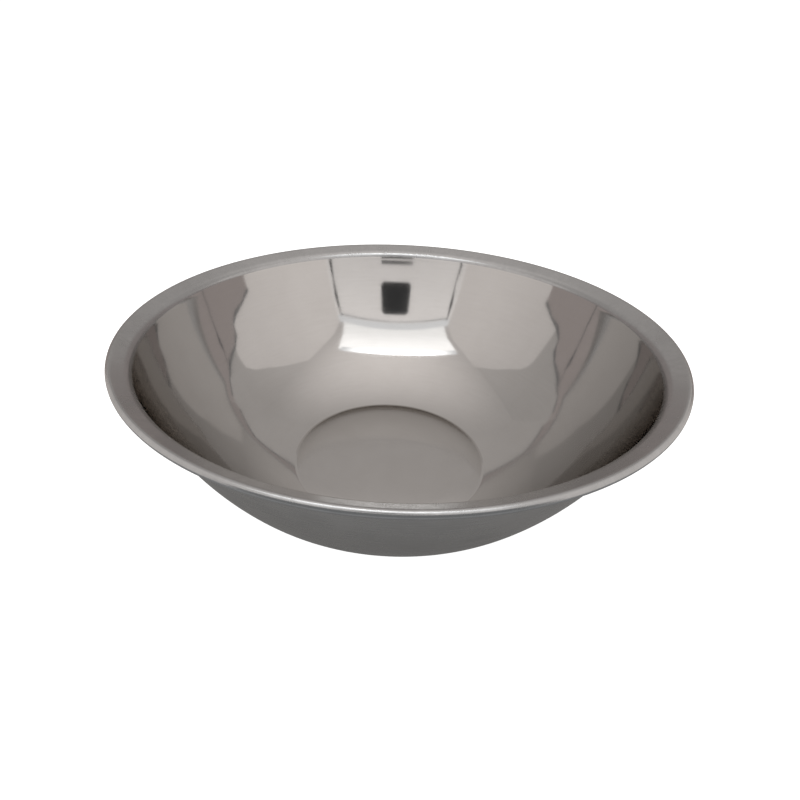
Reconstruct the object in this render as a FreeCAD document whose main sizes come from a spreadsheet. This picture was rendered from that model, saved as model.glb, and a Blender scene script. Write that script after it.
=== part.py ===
import FreeCAD, Part
import math
import os

import Sketcher

# A mixing bowl: one disc of stainless steel, drawn and spun into a bowl, with its edge
# rolled into a bead. Millimetres, +Z up; the origin is the centre of the foot it stands on.
# Angles are in degrees from level, and a positive slope rises outwards.

SIZES = {
    "overall_diameter": 406.4,      # over the bead
    "overall_height": 130.0,        # from the table to the top of the bead
    "sheet_thickness": 0.7,
    "foot_diameter": 162.0,         # the middle of the flat ring that the bowl stands on
    "foot_width": 1.6,              # of that flat ring
    "foot_radius": 1.0,             # inside bend on each side of it
    "floor_rise": 3.4,              # how far the middle of the floor is domed up
    "floor_radius": 1200.0,         # of the floor at its middle
    "floor_turn": 1.0,              # how far the floor turns down at that radius
    "floor_knee_angle": 3.0,        # fall of the floor where its flatter part ends
    "floor_edge_angle": 10.0,       # fall of the floor where it meets the foot
    "wall_base_angle": 15.0,        # slope of the wall where it leaves the foot
    "wall_base_radius": 125.0,      # of the wall where it leaves the foot
    "wall_base_turn": 5.0,          # how far the wall turns up at that radius
    "wall_knee_angle": 53.6,        # slope where the rounder lower wall meets the upper
    "wall_top_angle": 74.0,         # slope of the wall just under the lip
    "lip_radius": 9.0,             # bend from the wall into the flange
    "flange_angle": 28.0,
    "flange_length": 8.2,           # straight stretch between the lip and the bead
    "bead_diameter": 4.8,
    "curl_angle": 300.0,            # how far round the bead is rolled
}

# The stretches of the section, from the axis outwards
(FLOOR, FLOOR_FALL, FLOOR_EDGE, FLOOR_BEND, FOOT, WALL_BEND, WALL_BASE, WALL_LOWER,
 WALL_UPPER, LIP, FLANGE, BEAD) = range(12)

# The sketcher's own numbers: an arc's centre, the origin and the upright axis
CENTRE = 3
ORIGIN = (-1, 1)
UPRIGHT = -2


def make_sheet(doc):
    """The spreadsheet of driving sizes, one alias to a row."""
    sheet = doc.addObject("Spreadsheet::Sheet", "sizes")
    for row, (alias, value) in enumerate(SIZES.items(), start=1):
        sheet.set("A%d" % row, alias)
        sheet.set("B%d" % row, str(value))
        sheet.setAlias("B%d" % row, alias)
    doc.recompute()
    return sheet


def heading(angle):
    """Unit vector along a line that rises at this angle."""
    return FreeCAD.Vector(math.cos(math.radians(angle)), math.sin(math.radians(angle)), 0)


def left_of(angle):
    """Unit vector square to heading(angle), on its left."""
    return heading(angle + 90)


def arcs_meet(start, start_angle, angle, end, end_angle):
    """Where two tangent arcs from start to end meet, if they meet at this slope."""
    first = left_of(start_angle) - left_of(angle)
    second = left_of(angle) - left_of(end_angle)
    radius = (end - start).cross(second).z / first.cross(second).z
    return start + radius * first


def inside_joints(size):
    """The points where the stretches of the sheet's inside face meet, each with its slope."""
    middle = FreeCAD.Vector(0, size.sheet_thickness + size.floor_rise, 0)
    foot_start = FreeCAD.Vector((size.foot_diameter - size.foot_width) / 2,
                                size.sheet_thickness, 0)
    foot_end = foot_start + size.foot_width * heading(0)
    floor_end = foot_start + size.foot_radius * (left_of(0) - left_of(-size.floor_edge_angle))
    floor_turned = middle - size.floor_radius * (left_of(0) - left_of(-size.floor_turn))
    wall_start = foot_end + size.foot_radius * (left_of(0) - left_of(size.wall_base_angle))
    turned_angle = size.wall_base_angle + size.wall_base_turn
    wall_turned = wall_start + size.wall_base_radius * (left_of(size.wall_base_angle)
                                                        - left_of(turned_angle))

    bead_radius = size.bead_diameter / 2
    bead_centre = FreeCAD.Vector(size.overall_diameter / 2 - bead_radius,
                                 size.overall_height - bead_radius, 0)
    flange_end = bead_centre + bead_radius * left_of(size.flange_angle)
    flange_start = flange_end - size.flange_length * heading(size.flange_angle)
    lip_centre = flange_start - size.lip_radius * left_of(size.flange_angle)
    wall_end = lip_centre + size.lip_radius * left_of(size.wall_top_angle)
    curl_end_angle = size.flange_angle - size.curl_angle

    return [
        (middle, 0),
        (floor_turned, -size.floor_turn),
        (arcs_meet(floor_turned, -size.floor_turn, -size.floor_knee_angle, floor_end,
                   -size.floor_edge_angle), -size.floor_knee_angle),
        (floor_end, -size.floor_edge_angle),
        (foot_start, 0),
        (foot_end, 0),
        (wall_start, size.wall_base_angle),
        (wall_turned, turned_angle),
        (arcs_meet(wall_turned, turned_angle, size.wall_knee_angle, wall_end,
                   size.wall_top_angle), size.wall_knee_angle),
        (wall_end, size.wall_top_angle),
        (flange_start, size.flange_angle),
        (flange_end, size.flange_angle),
        (bead_centre + bead_radius * left_of(curl_end_angle), curl_end_angle),
    ]


def stretch(first, second, depth):
    """The line or arc between two joints, this deep in the sheet, and whether it turns right."""
    (start, start_angle), (end, end_angle) = first, second
    if start_angle == end_angle:
        drop = depth * left_of(start_angle)
        return Part.LineSegment(start - drop, end - drop), False
    turn = left_of(start_angle) - left_of(end_angle)
    radius = (end - start).dot(turn) / turn.dot(turn)
    centre = start + radius * left_of(start_angle)
    circle = Part.Circle(centre, FreeCAD.Vector(0, 0, 1), abs(radius + depth))
    if radius < 0:
        ends = math.radians(end_angle + 90), math.radians(start_angle + 90)
    else:
        ends = math.radians(start_angle - 90), math.radians(end_angle - 90)
    return Part.ArcOfCircle(circle, *ends), radius < 0


class Face:
    """One face of the sheet in the sketch: a chain of tangent stretches."""

    def __init__(self, sketch, joints, depth):
        self.curves = []        # the sketcher's number of each stretch
        self.near_points = []   # the number of its end that is nearer the axis
        for first, second in zip(joints, joints[1:]):
            curve, turns_right = stretch(first, second, depth)
            self.curves.append(sketch.addGeometry(curve, False))
            self.near_points.append(2 if turns_right else 1)
        for i in range(len(self.curves) - 1):
            sketch.addConstraint(Sketcher.Constraint("Tangent", *self.far(i), *self.near(i + 1)))

    def near(self, i):
        return self.curves[i], self.near_points[i]

    def far(self, i):
        return self.curves[i], 3 - self.near_points[i]

    def centre(self, i):
        return self.curves[i], CENTRE


def join(sketch, first, second, construction):
    """A line from one point of the sketch to another."""
    line = sketch.addGeometry(Part.LineSegment(sketch.getPoint(*first),
                                               sketch.getPoint(*second)), construction)
    sketch.addConstraint(Sketcher.Constraint("Coincident", line, 1, *first))
    sketch.addConstraint(Sketcher.Constraint("Coincident", line, 2, *second))
    return line


def bind(sketch, name, expression, kind, *where):
    """A named dimension whose value is worked out from the spreadsheet's cells."""
    value = sketch.evalExpression(expression)
    sketch.renameConstraint(sketch.addConstraint(Sketcher.Constraint(kind, *where, value)), name)
    sketch.setExpression("Constraints." + name, expression)


def draw_section(sketch, size):
    """Half of the bowl's section: both faces of its sheet, from the axis to the curled edge."""
    joints = inside_joints(size)
    inside = Face(sketch, joints, 0)
    outside = Face(sketch, joints, size.sheet_thickness)
    middle_line = join(sketch, inside.near(FLOOR), outside.near(FLOOR), False)
    edge_line = join(sketch, inside.far(BEAD), outside.far(BEAD), False)
    floor_spoke = join(sketch, inside.centre(FLOOR_FALL), inside.far(FLOOR_FALL), True)
    wall_spoke = join(sketch, inside.centre(WALL_LOWER), inside.far(WALL_LOWER), True)

    for arc in (FLOOR, FLOOR_FALL, FLOOR_EDGE, FLOOR_BEND, WALL_BEND, WALL_BASE, WALL_LOWER,
                WALL_UPPER, LIP, BEAD):
        sketch.addConstraint(Sketcher.Constraint("Coincident", *inside.centre(arc),
                                                 *outside.centre(arc)))
    for point in (inside.near(FLOOR), outside.near(FLOOR), inside.centre(FLOOR)):
        sketch.addConstraint(Sketcher.Constraint("PointOnObject", *point, UPRIGHT))
    for face in (inside, outside):
        sketch.addConstraint(Sketcher.Constraint("Horizontal", face.curves[FOOT]))
    sketch.addConstraint(Sketcher.Constraint("PointOnObject", *inside.centre(BEAD), edge_line))

    def measure(name, expression, kind, *where):
        bind(sketch, name, expression, kind, *where)

    measure("sheet_at_middle", "sizes.sheet_thickness", "Distance", middle_line)
    measure("sheet_at_edge", "sizes.sheet_thickness", "Distance", edge_line)
    measure("middle_height", "sizes.sheet_thickness + sizes.floor_rise",
            "DistanceY", *ORIGIN, *inside.near(FLOOR))
    measure("floor_radius", "sizes.floor_radius", "Radius", inside.curves[FLOOR])
    measure("floor_turn", "sizes.floor_radius * sin(sizes.floor_turn * 1 deg)",
            "DistanceX", *ORIGIN, *inside.far(FLOOR))
    measure("floor_knee", "(90 - sizes.floor_knee_angle) * 1 deg", "Angle", floor_spoke)
    measure("floor_edge", "sizes.foot_radius * sin(sizes.floor_edge_angle * 1 deg)",
            "DistanceX", *inside.far(FLOOR_EDGE), *inside.centre(FLOOR_BEND))
    measure("floor_bend", "sizes.foot_radius", "Radius", inside.curves[FLOOR_BEND])
    measure("foot_place", "(sizes.foot_diameter - sizes.foot_width) / 2",
            "DistanceX", *ORIGIN, *inside.near(FOOT))
    measure("foot_height", "sizes.sheet_thickness", "DistanceY", *ORIGIN, *inside.near(FOOT))
    measure("foot_width", "sizes.foot_width", "Distance", inside.curves[FOOT])
    measure("wall_bend", "sizes.foot_radius", "Radius", inside.curves[WALL_BEND])
    measure("wall_foot", "sizes.foot_radius * sin(sizes.wall_base_angle * 1 deg)",
            "DistanceX", *inside.centre(WALL_BEND), *inside.near(WALL_BASE))
    measure("wall_base_radius", "sizes.wall_base_radius", "Radius", inside.curves[WALL_BASE])
    measure("wall_base_turn", "sizes.wall_base_radius"
            " * sin((sizes.wall_base_angle + sizes.wall_base_turn) * 1 deg)",
            "DistanceX", *inside.centre(WALL_BASE), *inside.far(WALL_BASE))
    measure("wall_knee", "(sizes.wall_knee_angle - 90) * 1 deg", "Angle", wall_spoke)
    measure("wall_head", "sizes.lip_radius * sin(sizes.wall_top_angle * 1 deg)",
            "DistanceX", *inside.far(WALL_UPPER), *inside.centre(LIP))
    measure("lip_radius", "sizes.lip_radius", "Radius", inside.curves[LIP])
    measure("flange_length", "sizes.flange_length", "Distance", inside.curves[FLANGE])
    measure("flange_angle", "sizes.flange_angle * 1 deg", "Angle", inside.curves[FLANGE])
    measure("bead_place", "(sizes.overall_diameter - sizes.bead_diameter) / 2",
            "DistanceX", *ORIGIN, *inside.centre(BEAD))
    measure("bead_height", "sizes.overall_height - sizes.bead_diameter / 2",
            "DistanceY", *ORIGIN, *inside.centre(BEAD))
    measure("bead_radius", "sizes.bead_diameter / 2", "Radius", inside.curves[BEAD])
    measure("curl_end", "(sizes.flange_angle - sizes.curl_angle - 90) * 1 deg",
            "Angle", edge_line)


def make_bowl(doc, sheet):
    """The bowl as a body: the section turned once round the upright axis."""
    body = doc.addObject("PartDesign::Body", "bowl")
    body.Label = "bowl_shell"
    planes = {plane.Role: plane for plane in body.Origin.OriginFeatures}
    sketch = body.newObject("Sketcher::SketchObject", "section")
    sketch.AttachmentSupport = [(planes["XZ_Plane"], "")]
    sketch.MapMode = "FlatFace"
    draw_section(sketch, sheet)
    doc.recompute()
    turned = body.newObject("PartDesign::Revolution", "turned")
    turned.Profile = sketch
    turned.ReferenceAxis = (sketch, ["V_Axis"])
    turned.Angle = 360
    sketch.Visibility = False
    body.Placement = FreeCAD.Placement()
    return body


def check(doc, pieces):
    """Stop before anything is written if an object failed or a piece has no sound solid."""
    for item in doc.Objects:
        if "Invalid" in item.State or "Error" in item.State:
            raise RuntimeError("%s failed: %s" % (item.Label, item.State))
    for piece in pieces:
        if piece.Shape.isNull() or not piece.Shape.isValid() or len(piece.Shape.Solids) != 1:
            raise RuntimeError("%s is not one sound solid" % piece.Label)


def main():
    doc = FreeCAD.newDocument("mixing_bowl")
    sheet = make_sheet(doc)
    pieces = [make_bowl(doc, sheet)]
    doc.recompute()
    check(doc, pieces)
    os.makedirs("parts", exist_ok=True)
    for piece in pieces:
        piece.Shape.exportStep("parts/%s.step" % piece.Label)


main()
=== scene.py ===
import math

import bpy
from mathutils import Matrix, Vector, noise


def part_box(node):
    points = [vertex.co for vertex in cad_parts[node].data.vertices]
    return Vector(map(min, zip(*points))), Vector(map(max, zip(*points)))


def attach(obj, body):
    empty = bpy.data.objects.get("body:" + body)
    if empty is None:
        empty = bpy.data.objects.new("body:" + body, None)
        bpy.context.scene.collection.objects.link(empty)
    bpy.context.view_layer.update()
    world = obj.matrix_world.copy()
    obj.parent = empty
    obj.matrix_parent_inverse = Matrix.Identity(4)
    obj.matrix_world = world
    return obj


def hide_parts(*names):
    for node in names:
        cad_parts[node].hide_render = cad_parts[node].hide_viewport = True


# A stainless steel mixing bowl in a light tent. Metres, +Z up, the foot's centre at the
# origin and the camera on the -Y side. Slopes are degrees from level, rising outwards.

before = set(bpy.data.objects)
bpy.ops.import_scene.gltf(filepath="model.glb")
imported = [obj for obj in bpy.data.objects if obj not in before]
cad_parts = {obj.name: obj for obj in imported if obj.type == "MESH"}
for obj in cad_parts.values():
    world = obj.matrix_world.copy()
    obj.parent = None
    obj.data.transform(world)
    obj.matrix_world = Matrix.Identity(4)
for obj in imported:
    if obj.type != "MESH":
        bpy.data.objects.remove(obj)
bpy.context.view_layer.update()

MM = 0.001
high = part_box("bowl_shell")[1]
BOWL_RADIUS = high.x
BOWL_HEIGHT = high.z

SHEET = 0.7 * MM
FOOT_DIAMETER = 162.0 * MM
FOOT_WIDTH = 1.6 * MM
FOOT_BEND = 1.0 * MM
FLOOR_RISE = 3.4 * MM
FLOOR_KNEE = 3.0            # the slopes where stretches meet
FLOOR_EDGE = 10.0
WALL_BASE = 15.0
WALL_KNEE = 53.6
WALL_TOP = 74.0
LIP_RADIUS = 9.0 * MM
FLANGE_SLOPE = 28.0
FLANGE_LENGTH = 8.2 * MM
BEAD_RADIUS = 2.4 * MM
CURL = 300.0

AROUND = 288                # points round the bowl

# The stretches of the section from the axis outwards: how many steps each is drawn with,
# and the finish on the inside face
STRETCHES = (
    ("floor", 12, "floor"),
    ("floor_edge", 8, "floor"),
    ("floor_bend", 4, "floor"),
    ("foot", 2, "wall"),
    ("wall_bend", 4, "wall"),
    ("wall_lower", 36, "wall"),
    ("wall_upper", 32, "wall"),
    ("lip", 12, "rim"),
    ("flange", 6, "rim"),
    ("bead", 28, "rim"),
)


# ---- the section ----

def heading(angle):
    return Vector((math.cos(math.radians(angle)), math.sin(math.radians(angle))))


def left_of(angle):
    return heading(angle + 90)


def arcs_meet(start, start_angle, angle, end, end_angle):
    """Where two tangent arcs from start to end meet, if they meet at this slope."""
    first = left_of(start_angle) - left_of(angle)
    second = left_of(angle) - left_of(end_angle)
    span = end - start
    radius = (span.x * second.y - span.y * second.x) / (first.x * second.y - first.y * second.x)
    return start + radius * first


def inside_joints():
    """Where the stretches of the inside face meet, each point with its slope."""
    middle = Vector((0, SHEET + FLOOR_RISE))
    foot_start = Vector(((FOOT_DIAMETER - FOOT_WIDTH) / 2, SHEET))
    foot_end = foot_start + FOOT_WIDTH * heading(0)
    floor_end = foot_start + FOOT_BEND * (left_of(0) - left_of(-FLOOR_EDGE))
    wall_start = foot_end + FOOT_BEND * (left_of(0) - left_of(WALL_BASE))
    bead_centre = Vector((BOWL_RADIUS - BEAD_RADIUS, BOWL_HEIGHT - BEAD_RADIUS))
    flange_end = bead_centre + BEAD_RADIUS * left_of(FLANGE_SLOPE)
    flange_start = flange_end - FLANGE_LENGTH * heading(FLANGE_SLOPE)
    wall_end = flange_start + LIP_RADIUS * (left_of(WALL_TOP) - left_of(FLANGE_SLOPE))
    curl_end = FLANGE_SLOPE - CURL
    return [
        (middle, 0),
        (arcs_meet(middle, 0, -FLOOR_KNEE, floor_end, -FLOOR_EDGE), -FLOOR_KNEE),
        (floor_end, -FLOOR_EDGE),
        (foot_start, 0),
        (foot_end, 0),
        (wall_start, WALL_BASE),
        (arcs_meet(wall_start, WALL_BASE, WALL_KNEE, wall_end, WALL_TOP), WALL_KNEE),
        (wall_end, WALL_TOP),
        (flange_start, FLANGE_SLOPE),
        (flange_end, FLANGE_SLOPE),
        (bead_centre + BEAD_RADIUS * left_of(curl_end), curl_end),
    ]


def face_points(depth):
    """Points on one face of the sheet, this deep in it: place, slope and finish of each."""
    points = []
    joints = inside_joints()
    for (_, steps, finish), first, second in zip(STRETCHES, joints, joints[1:]):
        (start, start_angle), (end, end_angle) = first, second
        turn = left_of(start_angle) - left_of(end_angle)
        straight = start_angle == end_angle
        radius = 0 if straight else (end - start).dot(turn) / turn.dot(turn)
        centre = start + radius * left_of(start_angle)
        for i in range(steps):
            angle = start_angle + (end_angle - start_angle) * i / steps
            if straight:
                place = start.lerp(end, i / steps)
            else:
                place = centre - radius * left_of(angle)
            points.append((place - depth * left_of(angle), angle, finish))
    place, angle = joints[-1]
    points.append((place - depth * left_of(angle), angle, STRETCHES[-1][2]))
    return points


# ---- the bowl ----

FINISHES = ("wall", "floor", "rim", "outside")
WAVE = 0.045 * MM           # how far the pressed wall is out of round
WAVE_SIZE = 70 * MM
TRUE_FOOT = 6 * MM          # the sheet is true to its form up to this height
TRUE_RIM = 12 * MM          # and this far down from the top
WAVE_GROWS = 30 * MM        # the heights over which the waviness comes and goes
WAVE_FADES = 25 * MM


def waviness(place, turn):
    """How far the sheet stands off its true form here: nothing at the foot and the rim."""
    rise = min(max((place.y - TRUE_FOOT) / WAVE_GROWS, 0), 1)
    fall = min(max((BOWL_HEIGHT - TRUE_RIM - place.y) / WAVE_FADES, 0), 1)
    spot = Vector((place.x * math.cos(turn), place.x * math.sin(turn), place.y)) / WAVE_SIZE
    return WAVE * rise * fall * noise.noise(spot)


def bowl_mesh():
    """The sheet turned round the axis: its inside face, the bead's end and its outside face."""
    inside = face_points(0)
    outside = [(place, angle, "outside" if finish != "rim" else "rim")
               for place, angle, finish in face_points(SHEET)]
    rows = inside[1:] + outside[:0:-1]
    verts = [(0, 0, inside[0][0].y)]
    for place, angle, _ in rows:
        for k in range(AROUND):
            turn = 2 * math.pi * k / AROUND
            spot = place + waviness(place, turn) * left_of(angle)
            verts.append((spot.x * math.cos(turn), spot.x * math.sin(turn), spot.y))
    verts.append((0, 0, outside[0][0].y))

    faces, finishes = [], []
    last = len(verts) - 1
    for k in range(AROUND):
        faces.append((0, 1 + k, 1 + (k + 1) % AROUND))
        finishes.append("floor")
    for row in range(len(rows) - 1):
        for k in range(AROUND):
            a = 1 + row * AROUND + k
            b = 1 + row * AROUND + (k + 1) % AROUND
            faces.append((a, a + AROUND, b + AROUND, b))
            finishes.append(rows[row][2])
    final = last - AROUND
    for k in range(AROUND):
        faces.append((last, final + (k + 1) % AROUND, final + k))
        finishes.append("outside")

    mesh = bpy.data.meshes.new("bowl")
    mesh.from_pydata(verts, [], faces)
    mesh.polygons.foreach_set("material_index", [FINISHES.index(f) for f in finishes])
    mesh.polygons.foreach_set("use_smooth", [True] * len(faces))
    mesh.update()
    return mesh


# ---- the steel ----

EDGE_TINT = (0.86, 0.84, 0.82, 1)       # how steel darkens when it is seen along its surface
CLOUDS = 14.0                           # how close the broad and the fine stains are
SMUDGES = 55.0


class Nodes:
    """Adds nodes to a material and joins them up."""

    def __init__(self, material):
        material.use_nodes = True
        self.tree = material.node_tree
        self.tree.nodes.clear()

    def add(self, kind, inputs=(), **settings):
        node = self.tree.nodes.new(kind)
        for name, value in settings.items():
            setattr(node, name, value)
        for key, value in dict(inputs).items():
            if isinstance(value, bpy.types.NodeSocket):
                self.tree.links.new(value, node.inputs[key])
            else:
                node.inputs[key].default_value = value
        return node

    def math(self, operation, first, second=0.0):
        return self.add("ShaderNodeMath", {0: first, 1: second}, operation=operation).outputs[0]

    def noise(self, vector, scale, detail=2.0, roughness=0.5):
        return self.add("ShaderNodeTexNoise", {"Vector": vector, "Scale": scale,
                                               "Detail": detail, "Roughness": roughness}
                        ).outputs["Fac"]

    def fit(self, value, low, high, from_low=0.3, from_high=0.7):
        return self.add("ShaderNodeMapRange", {"Value": value, "From Min": from_low,
                                               "From Max": from_high, "To Min": low,
                                               "To Max": high}).outputs[0]


def steel(name, light, dark, shine, dull, along, across, lines, bump, anisotropic):
    """Steel marked by work round the bowl's axis.

    light and dark are the colours it varies between, shine and dull its least and most
    roughness, along and across how close the marks are round the bowl and up it, lines how
    much they change the roughness, bump their depth.
    """
    material = bpy.data.materials.new(name)
    n = Nodes(material)
    place = n.add("ShaderNodeTexCoord").outputs["Object"]
    split = n.add("ShaderNodeSeparateXYZ", {0: place}).outputs
    flat = n.add("ShaderNodeCombineXYZ", {0: split[0], 1: split[1]}).outputs[0]
    radius = n.add("ShaderNodeVectorMath", {0: flat}, operation="LENGTH").outputs["Value"]
    safe_radius = n.math("MAXIMUM", radius, 1 * MM)
    up = n.math("MULTIPLY", n.math("ADD", radius, split[2]), across)
    marks_at = n.add("ShaderNodeCombineXYZ", {
        0: n.math("MULTIPLY", n.math("DIVIDE", split[0], safe_radius), along),
        1: n.math("MULTIPLY", n.math("DIVIDE", split[1], safe_radius), along),
        2: up}).outputs[0]
    marks = n.noise(marks_at, 1.0, 4.0, 0.6)
    clouds = n.noise(place, CLOUDS, 4.0, 0.6)
    smudges = n.noise(place, SMUDGES, 5.0, 0.65)

    rough = n.math("ADD", n.fit(clouds, shine, dull), n.fit(marks, -lines, lines))
    rough = n.math("ADD", rough, n.fit(smudges, -lines / 2, lines / 2))
    stain = n.math("ADD", n.math("MULTIPLY", clouds, 0.5), n.math("MULTIPLY", marks, 0.3))
    stain = n.math("ADD", stain, n.math("MULTIPLY", smudges, 0.2))
    colour = n.add("ShaderNodeMix", {0: n.fit(stain, 0, 1), 6: light, 7: dark},
                   data_type="RGBA").outputs[2]
    relief = n.add("ShaderNodeBump", {"Strength": 1.0, "Distance": bump,
                                      "Height": marks}).outputs[0]
    tangent = n.add("ShaderNodeTangent", direction_type="RADIAL", axis="Z").outputs[0]
    shader = n.add("ShaderNodeBsdfPrincipled", {
        "Base Color": colour, "Metallic": 1.0, "Roughness": rough,
        "Specular Tint": EDGE_TINT, "Anisotropic": anisotropic, "Normal": relief,
        "Tangent": tangent})
    n.add("ShaderNodeOutputMaterial", {0: shader.outputs[0]})
    return material


def grey(value, warmth=0.0):
    """A grey, with more red and less blue the warmer it is."""
    return (value * (1 + warmth), value, value * (1 - warmth), 1)


def make_bowl():
    bowl = bpy.data.objects.new("bowl", bowl_mesh())
    bpy.context.scene.collection.objects.link(bowl)
    finishes = {
        "wall": steel("polished_wall", light=grey(0.53, 0.005), dark=grey(0.49, 0.012),
                      shine=0.05, dull=0.085, along=5, across=400, lines=0.012,
                      bump=0.001 * MM, anisotropic=0.2),
        "floor": steel("satin_floor", light=grey(0.53, 0.005), dark=grey(0.48, 0.012),
                       shine=0.10, dull=0.14, along=9, across=900, lines=0.02,
                       bump=0.002 * MM, anisotropic=0.3),
        "rim": steel("rolled_rim", light=grey(0.49, -0.018), dark=grey(0.37, -0.018),
                     shine=0.20, dull=0.27, along=45, across=160, lines=0.04,
                     bump=0.002 * MM, anisotropic=0.2),
        "outside": steel("plain_outside", light=grey(0.58, 0.01), dark=grey(0.43, 0.0),
                         shine=0.22, dull=0.32, along=6, across=500, lines=0.03,
                         bump=0.002 * MM, anisotropic=0.3),
    }
    for finish in FINISHES:
        bowl.data.materials.append(finishes[finish])
    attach(bowl, "root")
    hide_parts("bowl_shell")


# ---- the light tent ----

# A box over the bowl, from the table up, which only the steel sees
FRONT, BACK = -0.45, 0.60
LEFT, RIGHT = -0.42, 0.44
TOP = 0.70
SEAM = 0.64                 # where the front panel meets the top
SHADE = 0.285               # the front panel is in shade below this
NEAR = 0.01                 # how far what hangs on a panel stands in front of it
WARM = (1.07, 1.0, 0.95)
PINK = (1.13, 0.99, 0.94)


def even(n, strength):
    """The same glow all over. It takes what fade's and halo's glows take."""
    return strength


def fade(axis, start, end, first, last):
    """A glow that runs smoothly from first to last along an axis of the tent."""
    def glow(n, strength):
        place = n.add("ShaderNodeTexCoord").outputs["Object"]
        along = n.add("ShaderNodeSeparateXYZ", {0: place}).outputs["XYZ".index(axis)]
        return n.add("ShaderNodeMapRange", {
            "Value": along, "From Min": start, "From Max": end, "To Min": first * strength,
            "To Max": last * strength}, interpolation_type="SMOOTHSTEP").outputs[0]
    return glow


def halo(centre, reach, squeeze, outer):
    """A glow that falls off smoothly all round a centre, to outer at its reach."""
    def glow(n, strength):
        place = n.add("ShaderNodeTexCoord").outputs["Object"]
        off = n.add("ShaderNodeVectorMath", {0: place, 1: centre}, operation="SUBTRACT").outputs[0]
        off = n.add("ShaderNodeVectorMath", {0: off, 1: squeeze}, operation="MULTIPLY").outputs[0]
        away = n.add("ShaderNodeVectorMath", {0: off}, operation="LENGTH").outputs["Value"]
        return n.add("ShaderNodeMapRange", {
            "Value": away, "From Min": 0.0, "From Max": reach, "To Min": strength,
            "To Max": outer * strength}, interpolation_type="SMOOTHSTEP").outputs[0]
    return glow


def card(name, corners, strength, glow=even, tint=(1.0, 1.0, 1.0), faces=None):
    """A glowing sheet of the tent, seen in the steel but not by the camera."""
    mesh = bpy.data.meshes.new(name)
    mesh.from_pydata([Vector(c) for c in corners], [], faces or [tuple(range(len(corners)))])
    material = bpy.data.materials.new(name)
    n = Nodes(material)
    light = n.add("ShaderNodeEmission", {"Color": (*tint, 1), "Strength": glow(n, strength)})
    n.add("ShaderNodeOutputMaterial", {0: light.outputs[0]})
    mesh.materials.append(material)
    sheet = bpy.data.objects.new(name, mesh)
    bpy.context.scene.collection.objects.link(sheet)
    sheet.visible_camera = False
    sheet.visible_shadow = False


def upright(name, start, end, z0, z1, strength, **look):
    """An upright rectangle from start to end, each given as (x, y)."""
    (x0, y0), (x1, y1) = start, end
    card(name, [(x0, y0, z0), (x1, y1, z0), (x1, y1, z1), (x0, y0, z1)], strength, **look)


def level(name, x0, x1, y0, y1, z, strength, **look):
    """A level rectangle."""
    card(name, [(x0, y0, z), (x1, y0, z), (x1, y1, z), (x0, y1, z)], strength, **look)


def side(name, x, outline, strength, **look):
    """A panel on one side of the tent, its outline given as (y, z)."""
    card(name, [(x, y, z) for y, z in outline], strength, **look)


def seam(name, points, across, strength):
    """A dark fold through these points of the tent, each with its own width."""
    across = Vector(across)
    verts = [Vector(place) + way * across * width / 2
             for place, width in points for way in (-1, 1)]
    faces = [(i, i + 1, i + 3, i + 2) for i in range(0, len(verts) - 2, 2)]
    card(name, verts, strength, faces=faces)


LAMP = (-0.035, -0.145, TOP)
LAMP_GLOW = halo(LAMP, reach=0.34, squeeze=(1.0, 3.5, 1.0), outer=0.15)
ROOM_GLOW = halo((0.03, -0.12, TOP), reach=0.85, squeeze=(1.25, 1.0, 1.0), outer=0.47)

# The cloth on the sides, in (y, z): its lower edge, which runs level and rises behind, the
# hoop that its lit part ends at, and a tuck in it with the tuck's width
EDGE = [(0.07, 0.228), (0.12, 0.241), (0.17, 0.243), (0.205, 0.252), (0.22, 0.270),
        (0.26, 0.281), (0.35, 0.279), (0.43, 0.288), (0.54, 0.345)]
EDGE_WIDTHS = (0.009, 0.005)        # wide and narrow by turns
HOOP = [(0.285, 0.30), (0.295, 0.34), (0.27, 0.40), (0.214, 0.462), (0.155, 0.55),
        (0.096, 0.617), (0.03, TOP)]
TUCK = [(0.295, 0.13, 0.005), (0.295, 0.18, 0.005), (0.312, 0.218, 0.005),
        (0.330, 0.242, 0.015), (0.337, 0.257, 0.005), (0.367, 0.272, 0.005)]

# Its edge across the back, as a share of the way from the middle to the side, and the height
EDGE_BEHIND = [(0.9, 0.395), (0.45, 0.365), (0.0, 0.395)]


def make_front():
    """The front panel, shaded low down, with the camera's dark shape, a slit and its folds."""
    upright("front_low", (LEFT, FRONT), (RIGHT, FRONT), 0.0, SHADE, strength=0.28)
    upright("front", (LEFT, FRONT), (RIGHT, FRONT), SHADE, SEAM, strength=1.08,
            glow=fade("Z", 0.28, 0.62, first=0.88, last=1.02), tint=(1.05, 1.0, 0.965))

    near = FRONT + NEAR
    half_width, foot, head, corner = 0.080, 0.39, 0.57, 0.014
    inset = half_width - corner
    outline = [(-inset, foot), (inset, foot), (half_width, foot + corner),
               (half_width, head - corner), (inset, head), (-inset, head),
               (-half_width, head - corner), (-half_width, foot + corner)]
    card("camera_body", [(x, near, z) for x, z in outline], strength=0.05)
    upright("slit", (-0.078, near), (0.078, near), 0.296, 0.311, strength=0.08)

    # Each fold's points are x, z and the fold's width there
    right = [(0.385, 0.30, 0.022), (0.385, 0.40, 0.010), (0.39, 0.50, 0.024),
             (0.39, SEAM, 0.006)]
    left = [(-0.365, 0.29, 0.016), (-0.352, 0.40, 0.006), (-0.365, 0.52, 0.020),
            (-0.375, SEAM, 0.006)]
    below_seam = SEAM - 0.02
    top = [(-0.375, below_seam, 0.008), (0.0, below_seam, 0.004), (0.39, below_seam, 0.010)]
    for name, fold, across, strength in (("fold_right", right, (1, 0, 0), 0.04),
                                         ("fold_left", left, (1, 0, 0), 0.04),
                                         ("fold_top", top, (0, 0, 1), 0.25)):
        seam(name, [((x, near, z), width) for x, z, width in fold], across, strength)


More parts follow.
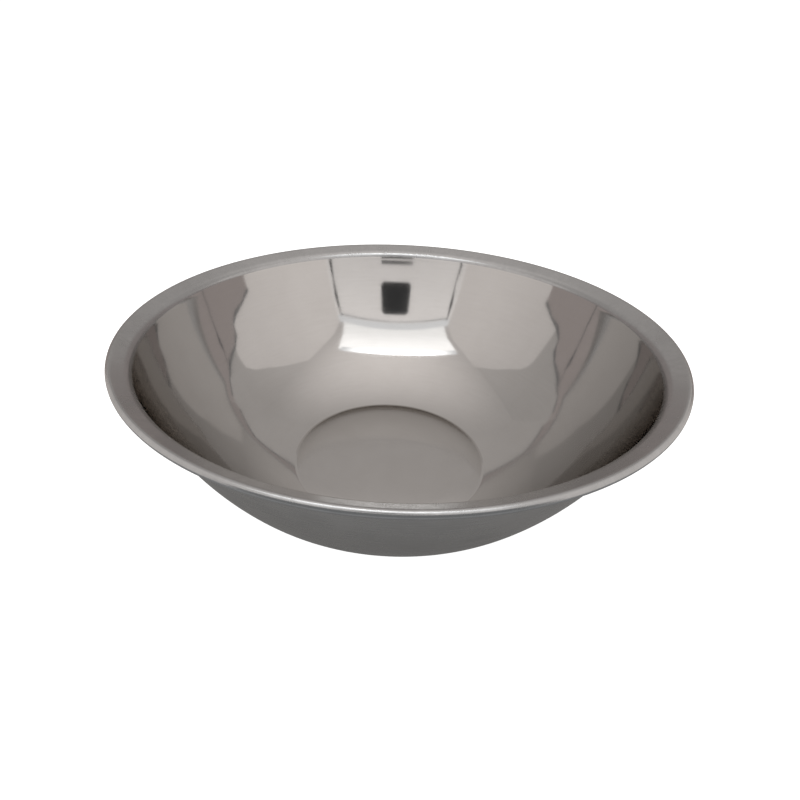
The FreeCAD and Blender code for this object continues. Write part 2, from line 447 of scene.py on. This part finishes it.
def make_top():
    """The top and the back, a brighter part of the top towards the front, and the lamp."""
    upright("back", (LEFT, BACK), (RIGHT, BACK), 0.0, TOP, strength=1.03, glow=ROOM_GLOW,
            tint=WARM)
    level("top", LEFT, RIGHT, FRONT, BACK, TOP, strength=1.05, glow=ROOM_GLOW, tint=WARM)
    under = TOP - NEAR / 2
    card("top_front", [(-0.38, FRONT, under), (0.39, FRONT, under), (0.30, -0.15, under),
                       (-0.36, -0.15, under)],
         strength=1.5, glow=fade("Y", FRONT, -0.18, first=1.0, last=1.3),
         tint=(1.02, 1.0, 0.98))
    level("tube", -0.355, 0.285, -0.175, -0.13, TOP - NEAR, strength=7.0, glow=LAMP_GLOW)


def make_side(name, panel, bright, reach):
    """A side of the tent at this x: a panel, cloth hung before it, and the cloth's edge.

    The lit part of the cloth goes back reach times as far as HOOP.
    """
    side(name + "_panel", panel, [(FRONT, 0), (BACK, 0), (BACK, TOP), (FRONT, TOP)],
         strength=1.05 * bright, glow=ROOM_GLOW, tint=WARM)

    cloth = panel - math.copysign(NEAR, panel)
    hoop = [(y * reach, z) for y, z in HOOP]
    start = (EDGE[0][0], 0)
    lit_edge = [(y, z) for y, z in EDGE if y < hoop[0][0]]
    side(name + "_front", cloth, [(FRONT, 0), start] + lit_edge + hoop + [(FRONT, TOP)],
         strength=0.80 * bright, glow=fade("Y", -0.25, 0.30, first=1.13, last=0.95 * bright),
         tint=WARM)
    side(name + "_below", cloth, [start] + EDGE + [(BACK, 0.385), (BACK, 0)], strength=0.38,
         tint=PINK)

    fold = cloth - math.copysign(NEAR, cloth)
    seam(name + "_edge", [((fold, y, z), EDGE_WIDTHS[i % 2]) for i, (y, z) in enumerate(EDGE)],
         (0, 0, 1), strength=0.15)
    seam(name + "_tuck", [((fold, y, z), width) for y, z, width in TUCK], (0, 1, 0),
         strength=0.12)
    seam(name + "_behind", [((fold * share, BACK - NEAR, z), 0.007) for share, z in EDGE_BEHIND],
         (0, 0, 1), strength=0.15)
    behind = BACK - NEAR / 2
    card(name + "_behind_below", [(fold * share, behind, z) for share, z in EDGE_BEHIND]
         + [(0, behind, 0), (fold, behind, 0), (fold, behind, 0.38)], strength=0.34, tint=PINK)


def make_floor():
    """The pale floor that the camera sees, and the greyer table that the steel sees, whose glow is
    dimmed near the bowl as a painted shadow of the bowl.
    """
    half_width = 8.0
    corners = [(-half_width, -half_width), (half_width, -half_width),
               (half_width, half_width), (-half_width, half_width)]
    # Painted shadow: the table's glow is weakest at the bowl's foot and grows outwards, standing
    # in for the bowl's shadow on the table
    painted_bowl_shadow = halo((0, 0, 0), reach=0.38, squeeze=(1, 1, 1), outer=3.6)
    for name, albedo, strength, glow, seen in (("pale_floor", 0.85, 0.85, even, True),
                                               ("grey_table_painted_shadow", 0.05, 0.085, painted_bowl_shadow, False)):
        mesh = bpy.data.meshes.new(name)
        mesh.from_pydata([(x, y, 0) for x, y in corners], [], [(0, 1, 2, 3)])
        material = bpy.data.materials.new(name)
        n = Nodes(material)
        shader = n.add("ShaderNodeBsdfPrincipled", {
            "Base Color": grey(albedo), "Roughness": 0.9,
            "Emission Color": grey(1.0), "Emission Strength": glow(n, strength)})
        n.add("ShaderNodeOutputMaterial", {0: shader.outputs[0]})
        mesh.materials.append(material)
        floor = bpy.data.objects.new(name, mesh)
        bpy.context.scene.collection.objects.link(floor)
        floor.visible_camera = seen
        floor.visible_glossy = not seen
        floor.visible_shadow = False


def make_world():
    """White light from all round, for what the tent's cards don't hide."""
    world = bpy.data.worlds.new("studio")
    bpy.context.scene.world = world
    world.use_nodes = True
    background = world.node_tree.nodes["Background"]
    background.inputs["Color"].default_value = grey(1.0)
    background.inputs["Strength"].default_value = 1.1


def make_camera():
    """A wide lens close above the near rim, looking down into the bowl."""
    data = bpy.data.cameras.new("camera")
    data.sensor_width = 36.0
    data.lens = 24.399
    data.shift_x = 0.03995
    data.shift_y = -0.04420
    data.clip_start = 0.01
    camera = bpy.data.objects.new("camera", data)
    bpy.context.scene.collection.objects.link(camera)
    camera.location = (0.0, -0.37819, 0.30030)
    camera.rotation_euler = [math.radians(a) for a in (61.069, -0.860, 3.451)]
    bpy.context.scene.camera = camera


make_bowl()
make_front()
make_top()
make_side("right", RIGHT, bright=1.0, reach=1.0)
make_side("left", LEFT, bright=0.93, reach=0.6)
make_floor()
make_world()
make_camera()
bpy.context.scene.view_settings.view_transform = "Standard"
bpy.context.scene.cycles.glossy_bounces = 12        # the wall reflects itself many times
